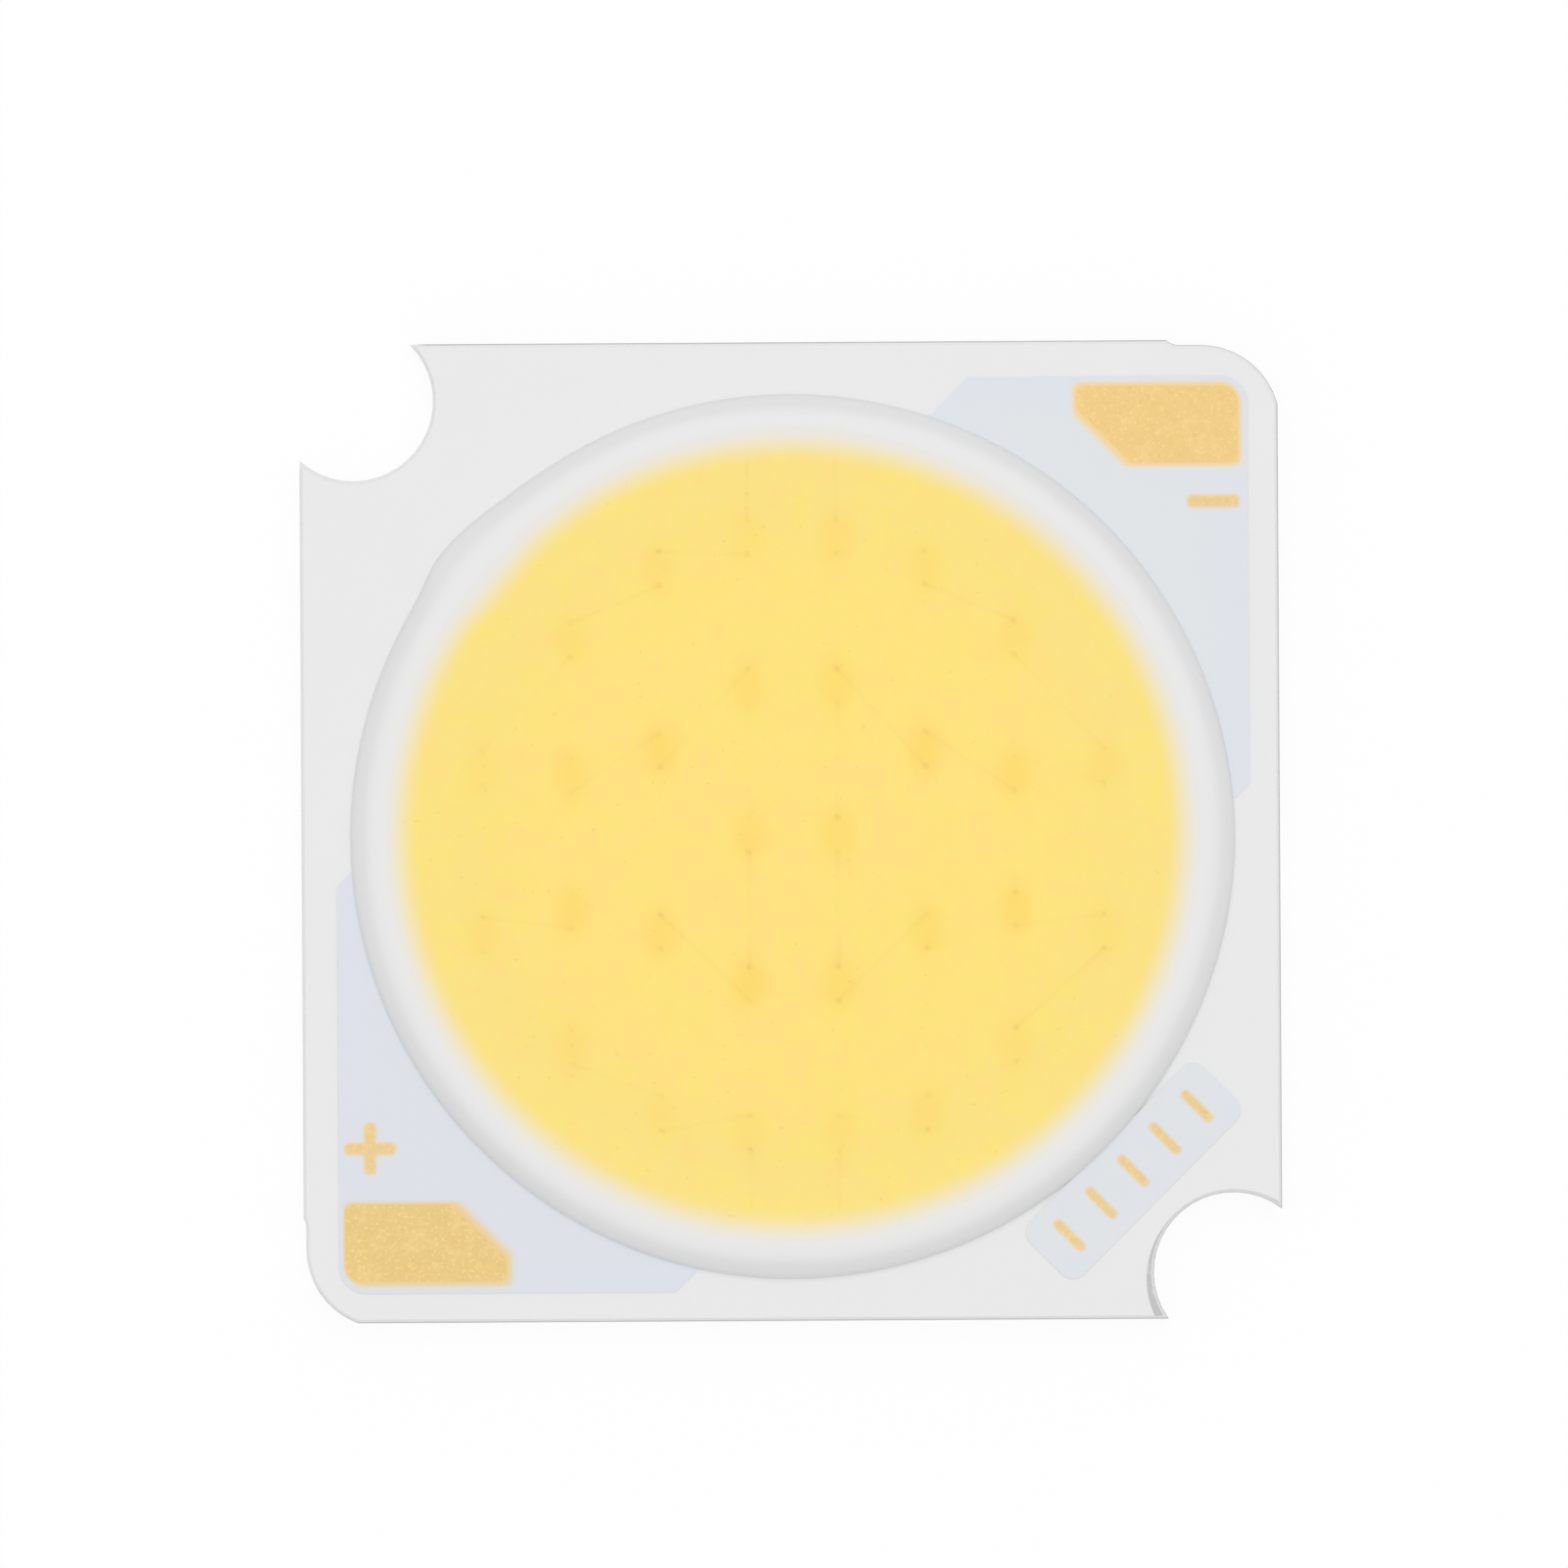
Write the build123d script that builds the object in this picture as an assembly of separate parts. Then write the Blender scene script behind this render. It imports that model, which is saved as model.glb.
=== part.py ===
from build123d import *
import os
from math import asin, cos, radians, sin, sqrt

os.makedirs("parts", exist_ok=True)

# A square chip-on-board light source, in millimetres. The origin is the centre of the back
# face and +Z is the way the light leaves. Pieces are laid up in the order of the real product:
# aluminium base, bonding film, circuit board, copper, mask, plating, chips, wires, dam and gel.

# Plate, snapped out of a panel along grooves scored from both faces
plate_side = 19.0
base_thickness = 0.85
film_thickness = 0.05
board_thickness = 0.10
score_inset = 0.08
score_depth = 0.30

# Screw notches and routed corners, which share one small offset from the scored edges
punch_offset = (0.05, -0.10)
notch_radius = 1.55
notch_inset = 1.00
corner_radius = 1.55
router_radius = 0.40
router_run = 0.40
bevel_width = 0.08
bevel_depth = 0.25

# Printed circuit. Its offset is shared by the dam, the gel and the chips
art_offset = (0.05, -0.06)
copper_thickness = 0.035
mask_thickness = 0.030
mask_side = 0.030
plating_thickness = 0.010
lead_margin = 0.67
lead_corner_radius = 0.50
lead_side_end = 0.97
cathode_top_end = 3.45
anode_bottom_end = 2.35
lead_chamfer = 0.90

# Bond ledges, the arcs of copper beside the window that the end wires land on
ledge_exposed = 0.25
ledge_setback = 0.06
ledge_width = 1.14
ledge_start_angle = 4.0
ledge_sweep = 100.0
mask_window_lap = 0.02

# Solder pads
pad_margin = 0.045
pad_length = 3.36
pad_width = 1.73
pad_chamfer = 1.00
pad_corner_radius = 0.45
pad_small_radius = 0.12

# Marking patch across the corner beside the lower notch
patch_length = 4.74
patch_width = 1.41
patch_corner_radius = 0.28
patch_gap = 0.04

# Silicone dam, one bead laid in a circle whose end laps its start
dam_margin = 0.97
dam_width = 1.18
dam_height = 0.52
dam_flats = 8
dam_skirt = 0.02
lap_angle = 141.0
lap_swell = 0.15
lap_drop = 0.02
lap_bend_radius = 2.80
lap_turn = 52.0

# Gel, a flat pool that climbs the dam to the first of its flats inside the crest
gel_rim_flats = 1
gel_climb = 0.06
gel_climb_width = 0.85

# Chips, in columns mirrored about the centre line and lettered outwards from it. The gaps are
# from the window's edge to column D's middle, and to the first and last chip of each column
chip_width = 0.56
chip_length = 0.89
chip_thickness = 0.15
attach_thickness = 0.02
bond_inset = 0.115
column_letters = "ABCD"
side_gap = 1.08
top_gaps = (0.79, 0.88, 1.18, 1.51)
bottom_gaps = (0.79, 0.66, 0.89, 0.93)

# Gold bond wires, six-sided, from a ball bond to a flat stitch
wire_diameter = 0.030
ball_radius = 0.036
ball_height = 0.020
loop_height = 0.20
loop_shoulder = 0.10
stitch_length = 0.08
stitch_clearance = 0.05

# One string in the order that its current takes: a chip's column letter and place from the top
string_order = "A1 B1 C1 D1 C2 B2 A2 A3 A4 B3 C3 D2 C4 B4 A5".split()

# Heights of the layers
film_floor = base_thickness
board_floor = film_floor + film_thickness
board_top = board_floor + board_thickness
copper_top = board_top + copper_thickness
mask_low = board_top + mask_thickness
plate_top = copper_top + mask_thickness
dam_foot = plate_top + dam_skirt
chip_floor = base_thickness + attach_thickness
chip_top = chip_floor + chip_thickness

# Sections as (across, up) shares of the half width: a wire's six sides, and its room in the gel
wire_corner = 1 / cos(radians(30))
wire_turns = [radians(30 + 60 * i) for i in range(6)]
wire_section = [(wire_corner * sin(turn), wire_corner * cos(turn)) for turn in wire_turns]
wire_room = [(wire_corner, 1), (wire_corner, -1), (-wire_corner, -1), (-wire_corner, 1)]

# Places worked out from the sizes above
plate_half = plate_side / 2
cut_reach = base_thickness
corner_reach = 2 * corner_radius
cut_flare = bevel_width * (bevel_depth + cut_reach) / bevel_depth
lead_half = plate_half - lead_margin
pad_reach = lead_half - pad_margin
dam_outer_radius = plate_half - dam_margin
dam_inner_radius = dam_outer_radius - dam_width
dam_crest_radius = dam_outer_radius - dam_width / 2
window_radius = dam_inner_radius - ledge_exposed
ledge_inner_radius = window_radius + ledge_setback
ledge_outer_radius = ledge_inner_radius + ledge_width
mask_window_radius = dam_inner_radius - mask_window_lap
landing_radius = mask_window_radius - stitch_clearance
bond_reach = chip_length / 2 - bond_inset
column_pitch = (window_radius - side_gap) / (len(column_letters) - 0.5)

# The dam's section follows one arc over its width, in flats that stray from it by 0.01
dam_arc_radius = (dam_height**2 + (dam_width / 2) ** 2) / (2 * dam_height)
dam_arc_centre = dam_foot + dam_height - dam_arc_radius
dam_flat_turn = 2 * asin(dam_width / 2 / dam_arc_radius) / dam_flats
gel_rim_setback = dam_arc_radius * sin(gel_rim_flats * dam_flat_turn)
gel_rim_radius = dam_crest_radius - gel_rim_setback
gel_rim_height = dam_arc_centre + dam_arc_radius * cos(gel_rim_flats * dam_flat_turn)
gel_level = gel_rim_height - gel_climb

art = Pos(*art_offset)


def at_height(sketch, low, high):
    """A flat outline made into a sheet between two heights."""
    return extrude(Pos(0, 0, low) * sketch, high - low, dir=(0, 0, 1))


def scored_slab(long_way):
    """A slab whose two edges lean in at both faces, as a snapped groove leaves them."""
    edge = Polyline(
        (plate_half - score_inset, 0),
        (plate_half, score_depth),
        (plate_half, plate_top - score_depth),
        (plate_half - score_inset, plate_top),
        (score_inset - plate_half, plate_top),
        (-plate_half, plate_top - score_depth),
        (-plate_half, score_depth),
        (score_inset - plate_half, 0),
        close=True,
    )
    slab = extrude(Plane.XZ * make_face(edge), plate_side, both=True)
    return Rot(0, 0, 90) * slab if long_way else slab


def drilled(radius):
    """A round cutter, flared where it leaves the top so that it leaves a bevel."""
    edge = Polyline(
        (0, -cut_reach),
        (radius, -cut_reach),
        (radius, plate_top - bevel_depth),
        (radius + cut_flare, plate_top + cut_reach),
        (0, plate_top + cut_reach),
        close=True,
    )
    return revolve(Plane.XZ * make_face(edge), Axis.Z)


def routed_corner():
    """Cutter for a rounded corner: a quarter turn, a short run past each end, and the bit's ends."""
    edge = Polyline(
        (corner_radius, -cut_reach),
        (corner_reach, -cut_reach),
        (corner_reach, plate_top + cut_reach),
        (corner_radius - cut_flare, plate_top + cut_reach),
        (corner_radius, plate_top - bevel_depth),
        close=True,
    )
    section = Plane.XZ * make_face(edge)
    turn = revolve(section, Axis.Z, 90)
    down = extrude(section, router_run, dir=(0, -1, 0))
    back = extrude(Rot(0, 0, 90) * section, router_run, dir=(-1, 0, 0))
    track = corner_radius + router_radius
    bit = drilled(router_radius)
    return turn + down + back + Pos(track, -router_run) * bit + Pos(-router_run, track) * bit


def plate_blank():
    """The whole laid-up plate with its scored edges, screw notches and rounded corners."""
    blank = scored_slab(False) & scored_slab(True)
    shift_x, shift_y = punch_offset
    notch_place = plate_half - notch_inset
    corner_place = plate_half - corner_radius
    blank -= Pos(shift_x - notch_place, shift_y + notch_place) * drilled(notch_radius)
    blank -= Pos(shift_x + notch_place, shift_y - notch_place) * drilled(notch_radius)
    blank -= Pos(shift_x + corner_place, shift_y + corner_place) * routed_corner()
    blank -= Pos(shift_x - corner_place, shift_y - corner_place) * Rot(0, 0, 180) * routed_corner()
    return blank


def layer(low, high):
    """One layer of the plate, with the plate's own edges."""
    return blank & at_height(Rectangle(plate_side, plate_side), low, high)


def windowed_layer(low, high):
    """A layer with the round window that the chips stand in."""
    return layer(low, high) - at_height(art * Circle(window_radius), low, high)


def lead_outline(top_end):
    """One lead in plan, in the upper right corner: a field, and the ledge it feeds."""
    field = Polygon(
        (lead_half, lead_half),
        (top_end, lead_half),
        (top_end - lead_chamfer, lead_half - lead_chamfer),
        (0, 0),
        (lead_half - lead_chamfer, lead_side_end - lead_chamfer),
        (lead_half, lead_side_end),
        align=None,
    )
    outer_corner = field.vertices().sort_by_distance((lead_half, lead_half))[0]
    field = fillet(outer_corner, lead_corner_radius)
    start = radians(ledge_start_angle)
    end = radians(ledge_start_angle + ledge_sweep)
    rim_start = Vector(cos(start), sin(start))
    rim_end = Vector(cos(end), sin(end))
    ledge = make_face(
        [
            CenterArc((0, 0), ledge_inner_radius, ledge_start_angle, ledge_sweep),
            CenterArc((0, 0), ledge_outer_radius, ledge_start_angle, ledge_sweep),
            Line(rim_start * ledge_inner_radius, rim_start * ledge_outer_radius),
            Line(rim_end * ledge_inner_radius, rim_end * ledge_outer_radius),
        ]
    )
    return field + ledge - Circle(ledge_inner_radius)


def pad_outline():
    """A solder pad in plan, in the upper right corner, with its inner corner cut across."""
    left = pad_reach - pad_length
    low = pad_reach - pad_width
    pad = Polygon(
        (left, low + pad_chamfer),
        (left, pad_reach),
        (pad_reach, pad_reach),
        (pad_reach, low),
        (left + pad_chamfer, low),
        align=None,
    )
    corners = pad.vertices().sort_by_distance((pad_reach, pad_reach))
    pad = fillet(corners[0], pad_corner_radius)
    # The fillet's two ends are now the nearest points
    sharp_corners = pad.vertices().sort_by_distance((pad_reach, pad_reach))[2:]
    return fillet(sharp_corners, pad_small_radius)


def patch_outline():
    """The marking patch in plan, on the diagonal towards the lower right notch."""
    reach = dam_outer_radius + patch_gap + patch_width / 2
    patch = RectangleRounded(patch_length, patch_width, patch_corner_radius)
    return Rot(0, 0, -45) * Pos(reach, 0) * Rot(0, 0, 90) * patch


def solder_mask(coppers, outlines, openings):
    """White mask: low over the bare board, raised over the copper, open at the pads."""
    mask = layer(board_top, mask_low)
    for outline in outlines:
        mask += at_height(art * offset(outline, mask_side), board_top, plate_top)
    mask &= blank
    mask -= at_height(art * Circle(mask_window_radius), board_top, plate_top)
    for copper in coppers:
        mask -= copper
    for opening in openings:
        mask -= at_height(art * opening, copper_top, plate_top)
    return mask


def bead_section(radius, height):
    """Upright section of the bead, centred on a radius: a short skirt under an arc of flats."""
    half = dam_width / 2
    arc_radius = (height**2 + half**2) / (2 * height)
    arc_centre = dam_foot + height - arc_radius
    reach = asin(half / arc_radius)
    turns = [reach * (2 * i / dam_flats - 1) for i in range(dam_flats + 1)]
    crown = [(radius + arc_radius * sin(turn), arc_centre + arc_radius * cos(turn)) for turn in turns]
    feet = [(radius + half, board_top), (radius - half, board_top)]
    return Plane.XZ * make_face(Polyline(*crown, *feet, close=True))


def dam_bead():
    """The dam before it settles over the mask, with the swell where its end laps its start."""
    bead = revolve(bead_section(dam_crest_radius, dam_height), Axis.Z)
    lap_section = bead_section(lap_bend_radius, dam_height - lap_drop)
    lap = Rot(0, 0, -lap_turn / 2) * revolve(lap_section, Axis.Z, lap_turn)
    lap_reach = dam_crest_radius + lap_swell - lap_bend_radius
    return art * (bead + Rot(0, 0, lap_angle) * Pos(lap_reach, 0) * lap)


def gel_pool():
    """The gel before the pieces inside it are taken out: flat, then climbing the dam."""
    past_rim = gel_rim_radius + gel_rim_setback / 2
    climb_start = gel_rim_radius - gel_climb_width
    profile = make_face(
        [
            Line((0, base_thickness), (window_radius, base_thickness)),
            Line((window_radius, base_thickness), (window_radius, board_top)),
            Line((window_radius, board_top), (past_rim, board_top)),
            Line((past_rim, board_top), (past_rim, gel_rim_height)),
            Line((past_rim, gel_rim_height), (gel_rim_radius, gel_rim_height)),
            TangentArc((climb_start, gel_level), (gel_rim_radius, gel_rim_height), tangent=(1, 0)),
            Line((climb_start, gel_level), (0, gel_level)),
            Line((0, gel_level), (0, base_thickness)),
        ]
    )
    return art * revolve(Plane.XZ * profile, Axis.Z)


def chip_centre(side, spot):
    """Centre of a chip in plan. Side is -1 on the left and 1 on the right.

    A column's first and last chips stand their gaps inside the window's edge, measured along
    the column's outer side, and the others are spaced evenly between them.
    """
    column = column_letters.index(spot[0])
    place = int(spot[1]) - 1
    count = sum(other[0] == spot[0] for other in string_order)
    x = column_pitch * (column + 0.5)
    edge = sqrt(window_radius**2 - (x + chip_width / 2) ** 2)
    first = edge - top_gaps[column] - chip_length / 2
    last = bottom_gaps[column] + chip_length / 2 - edge
    y = first + (last - first) * place / (count - 1)
    return Vector(*art_offset) + Vector(side * x, y)


def chip_block(centre, low, high):
    """A block with a chip's outline between two heights."""
    return at_height(Pos(centre) * Rectangle(chip_width, chip_length), low, high)


def skinned(rings):
    """A closed solid with flat sides between rings of points, and flat ends."""
    sides = []
    for ring, following in zip(rings, rings[1:]):
        for i in range(len(ring)):
            corners = [ring[i - 1], ring[i], following[i], following[i - 1]]
            sides.append(Face(Wire.make_polygon(corners)))
    ends = [Face(Wire.make_polygon(rings[0])), Face(Wire.make_polygon(rings[-1]))]
    return Solid(Shell(sides + ends))


def bond_wire(start, landing, section):
    """A wire from a ball bond at start to a flat stitch that ends at landing.

    The wire lies in one upright plane: up from the ball, over a shoulder, down a long
    straight slope, and flat along the landing. The section is a list of (across, up) shares
    of the wire's half width, and each bend is mitred.
    """
    along = Vector(landing.X - start.X, landing.Y - start.Y)
    reach = along.length
    along = along.normalized()
    across = along.rotate(Axis.Z, 90)
    rest = landing.Z - start.Z + wire_diameter / 2
    path = [
        (0, ball_height),
        (0, loop_height - loop_shoulder),
        (loop_shoulder, loop_height),
        (reach - stitch_length, rest),
        (reach, rest),
    ]
    points = [start + along * u + Vector(0, 0, z) for u, z in path]
    normals = [(b - a).cross(across).normalized() for a, b in zip(points, points[1:])]
    # Each bend's ring lies on the plane that halves the turn
    before = [normals[0]] + normals
    after = normals + [normals[-1]]
    mitres = [(n + m) / (1 + n.dot(m)) for n, m in zip(before, after)]
    half = wire_diameter / 2
    rings = [[start + across * (ball_radius * v) + normals[0] * (ball_radius * n) for v, n in section]]
    for point, mitre in zip(points, mitres):
        rings.append([point + across * (half * v) + mitre * (half * n) for v, n in section])
    return skinned(rings)


def string_of_wires(side, section):
    """The wires of one string: from the upper ledge, chip to chip, to the lower ledge."""
    centres = [chip_centre(side, spot) for spot in string_order]
    pad_up = Vector(0, bond_reach, chip_top)
    pad_down = Vector(0, -bond_reach, chip_top)
    ledge_x = centres[0].X - art_offset[0]
    ledge_y = sqrt(landing_radius**2 - ledge_x**2)
    ledge_top = Vector(*art_offset) + Vector(ledge_x, ledge_y, copper_top)
    ledge_low = Vector(*art_offset) + Vector(ledge_x, -ledge_y, copper_top)
    wires = [bond_wire(centres[0] + pad_up, ledge_top, section)]
    for centre, following in zip(centres, centres[1:]):
        wires.append(bond_wire(centre + pad_down, following + pad_up, section))
    wires.append(bond_wire(centres[-1] + pad_down, ledge_low, section))
    return wires


blank = plate_blank()
half_turn = Rot(0, 0, 180)
cathode_outline = lead_outline(cathode_top_end)
anode_outline = half_turn * lead_outline(anode_bottom_end)
cathode_copper = at_height(art * cathode_outline, board_top, copper_top)
anode_copper = at_height(art * anode_outline, board_top, copper_top)
marking_copper = at_height(art * patch_outline(), board_top, copper_top)
coppers = [cathode_copper, anode_copper, marking_copper]

pad_outlines = {"cathode_pad": pad_outline(), "anode_pad": half_turn * pad_outline()}
copper_outlines = [cathode_outline, anode_outline, patch_outline()]
mask = solder_mask(coppers, copper_outlines, pad_outlines.values())

pieces = {
    "base_plate": layer(0, base_thickness),
    "bonding_film": windowed_layer(film_floor, board_floor),
    "circuit_board": windowed_layer(board_floor, board_top),
    "cathode_copper": cathode_copper,
    "anode_copper": anode_copper,
    "marking_copper": marking_copper,
    "solder_mask": mask,
}
for name, outline in pad_outlines.items():
    pieces[name] = at_height(art * outline, copper_top, copper_top + plating_thickness)

dam = dam_bead() - mask - cathode_copper - anode_copper
inside_gel = []
chip_number = 0
for name, side in (("left", -1), ("right", 1)):
    centres = [chip_centre(side, spot) for spot in string_order]
    for centre in centres:
        chip_number += 1
        pieces[f"led_chip_{chip_number:02d}"] = chip_block(centre, chip_floor, chip_top)
        inside_gel.append(chip_block(centre, base_thickness, chip_top))
    wires = string_of_wires(side, wire_section)
    inside_gel.extend(string_of_wires(side, wire_room))
    attaches = [chip_block(centre, base_thickness, chip_floor) for centre in centres]
    pieces[f"die_attach_{name}"] = Compound(attaches)
    pieces[f"bond_wires_{name}"] = Compound(wires)

gel = gel_pool() - dam - mask - cathode_copper - anode_copper
pieces["dam_ring"] = dam
pieces["phosphor_gel"] = gel - inside_gel

for name, shape in pieces.items():
    export_step(shape, f"parts/{name}.step")
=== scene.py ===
"""Looks for a square chip-on-board light source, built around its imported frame.

Sizes in the classes are millimetres, turned to metres where a mesh or a pattern is made. The
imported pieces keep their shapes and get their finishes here. The bead of the dam and the gel
are made anew as smooth surfaces, and the plated marks are added.
"""

import logging
import math
from dataclasses import dataclass
from enum import Enum

import bpy
import numpy as np
from numpy.typing import NDArray
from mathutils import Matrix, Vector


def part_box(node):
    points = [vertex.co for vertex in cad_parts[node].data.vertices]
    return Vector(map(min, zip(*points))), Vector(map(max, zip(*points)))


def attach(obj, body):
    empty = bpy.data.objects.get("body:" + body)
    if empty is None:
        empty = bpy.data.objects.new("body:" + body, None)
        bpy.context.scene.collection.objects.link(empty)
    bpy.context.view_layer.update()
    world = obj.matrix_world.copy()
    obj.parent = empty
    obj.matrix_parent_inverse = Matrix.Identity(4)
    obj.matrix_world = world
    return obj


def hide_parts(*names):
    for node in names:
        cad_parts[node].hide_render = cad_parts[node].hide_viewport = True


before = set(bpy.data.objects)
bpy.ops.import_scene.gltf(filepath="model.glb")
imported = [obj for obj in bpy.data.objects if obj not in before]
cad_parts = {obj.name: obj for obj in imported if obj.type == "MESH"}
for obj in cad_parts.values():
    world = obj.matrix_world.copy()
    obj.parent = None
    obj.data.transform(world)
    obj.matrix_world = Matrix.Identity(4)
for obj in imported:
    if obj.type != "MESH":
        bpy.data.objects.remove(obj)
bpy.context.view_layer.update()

MM = 0.001
BODY = "root"
log = logging.getLogger("light_source")

Grid = NDArray[np.float64]
Socket = bpy.types.NodeSocket


class Pattern(Enum):
    """How a surface is marked: the stretch of its grain along X, Y and Z."""

    EVEN = (1.0, 1.0, 1.0)
    ROLLED = (0.04, 1.0, 1.0)
    SCORED = (1.0, 1.0, 6.0)


@dataclass(frozen=True)
class Tint:
    """A colour as it looks on a screen, each channel from 0 to 255."""

    red: float
    green: float
    blue: float

    def linear(self) -> tuple[float, float, float, float]:
        """The colour as light, with full opacity."""
        shares = np.array([self.red, self.green, self.blue]) / 255
        low = shares / 12.92
        high = ((shares + 0.055) / 1.055) ** 2.4
        light = np.where(shares <= 0.04045, low, high)
        return (float(light[0]), float(light[1]), float(light[2]), 1.0)


class Shader:
    """One material while it is made: its main shader and the nodes that feed it."""

    def __init__(self, name: str, tint: Tint, roughness: float, metallic: float, specular: float) -> None:
        """Starts a material with even values.

        Args:
            name: The material's name.
            tint: Its colour.
            roughness: From 0, polished, to 1, dull.
            metallic: 0 for ink and silicone, 1 for bare metal.
            specular: Strength of the clear reflection, 0.5 for common plastics.
        """
        self.material = bpy.data.materials.new(name)
        self.material.use_nodes = True
        self.tree = self.material.node_tree
        self.main = self.tree.nodes["Principled BSDF"]
        self.main.inputs["Base Color"].default_value = tint.linear()
        self.main.inputs["Roughness"].default_value = roughness
        self.main.inputs["Metallic"].default_value = metallic
        self.main.inputs["Specular IOR Level"].default_value = specular
        self.place = self.tree.nodes.new("ShaderNodeTexCoord").outputs["Object"]

    def join(self, source: Socket, target: Socket) -> None:
        """Links one socket to another."""
        self.tree.links.new(source, target)

    def axis(self, name: str) -> Socket:
        """One coordinate of the place on the piece, in metres."""
        split = self.tree.nodes.new("ShaderNodeSeparateXYZ")
        self.join(self.place, split.inputs[0])
        return split.outputs[name]

    def attribute(self, name: str) -> Socket:
        """A value carried by the mesh."""
        node = self.tree.nodes.new("ShaderNodeAttribute")
        node.attribute_name = name
        return node.outputs["Fac"]

    def noise(self, grain: float, detail: float = 2.0, pattern: Pattern = Pattern.EVEN) -> Socket:
        """Soft noise from 0 to 1.

        Args:
            grain: Size of its blobs, in millimetres.
            detail: How many finer layers it has.
            pattern: How the blobs are stretched.

        Returns:
            The socket that carries the noise.
        """
        stretch = self.tree.nodes.new("ShaderNodeMapping")
        stretch.inputs["Scale"].default_value = pattern.value
        self.join(self.place, stretch.inputs["Vector"])
        node = self.tree.nodes.new("ShaderNodeTexNoise")
        node.inputs["Scale"].default_value = 1 / (grain * MM)
        node.inputs["Detail"].default_value = detail
        self.join(stretch.outputs["Vector"], node.inputs["Vector"])
        return node.outputs["Fac"]

    def between(self, value: Socket, low: float, high: float) -> Socket:
        """A smooth step from 0 at low to 1 at high."""
        node = self.tree.nodes.new("ShaderNodeMapRange")
        node.interpolation_type = "SMOOTHSTEP"
        node.inputs["From Min"].default_value = low
        node.inputs["From Max"].default_value = high
        self.join(value, node.inputs["Value"])
        return node.outputs["Result"]

    def within(self, middle: tuple[float, float, float], radius: float, blur: float) -> Socket:
        """1 inside a ball round a point, and 0 outside it, with a soft edge of the blur's width."""
        node = self.tree.nodes.new("ShaderNodeVectorMath")
        node.operation = "DISTANCE"
        node.inputs[1].default_value = tuple(part * MM for part in middle)
        self.join(self.place, node.inputs[0])
        return self.between(node.outputs["Value"], (radius + blur / 2) * MM, (radius - blur / 2) * MM)

    def scaled(self, value: Socket, factor: float) -> Socket:
        """A value times a number."""
        node = self.tree.nodes.new("ShaderNodeMath")
        node.operation = "MULTIPLY"
        node.inputs[1].default_value = factor
        self.join(value, node.inputs[0])
        return node.outputs[0]

    def mixed(self, amount: Socket, first: Tint | Socket, second: Tint | Socket) -> Socket:
        """A colour that goes from the first to the second as amount goes from 0 to 1."""
        node = self.tree.nodes.new("ShaderNodeMix")
        node.data_type = "RGBA"
        self.join(amount, node.inputs[0])
        for colour, socket in ((first, node.inputs[6]), (second, node.inputs[7])):
            if isinstance(colour, Tint):
                socket.default_value = colour.linear()
            else:
                self.join(colour, socket)
        return node.outputs[2]

    def colour(self, source: Socket) -> None:
        """Feeds the colour of the main shader."""
        self.join(source, self.main.inputs["Base Color"])

    def rough(self, source: Socket, low: float, high: float) -> None:
        """Lets the roughness follow a value, from low to high."""
        node = self.tree.nodes.new("ShaderNodeMapRange")
        node.inputs["To Min"].default_value = low
        node.inputs["To Max"].default_value = high
        self.join(source, node.inputs["Value"])
        self.join(node.outputs["Result"], self.main.inputs["Roughness"])

    def relief(self, height: Socket, depth: float) -> None:
        """Raises the surface by a value, by at most depth millimetres."""
        node = self.tree.nodes.new("ShaderNodeBump")
        node.inputs["Distance"].default_value = depth * MM
        self.join(height, node.inputs["Height"])
        self.join(node.outputs["Normal"], self.main.inputs["Normal"])


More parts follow.
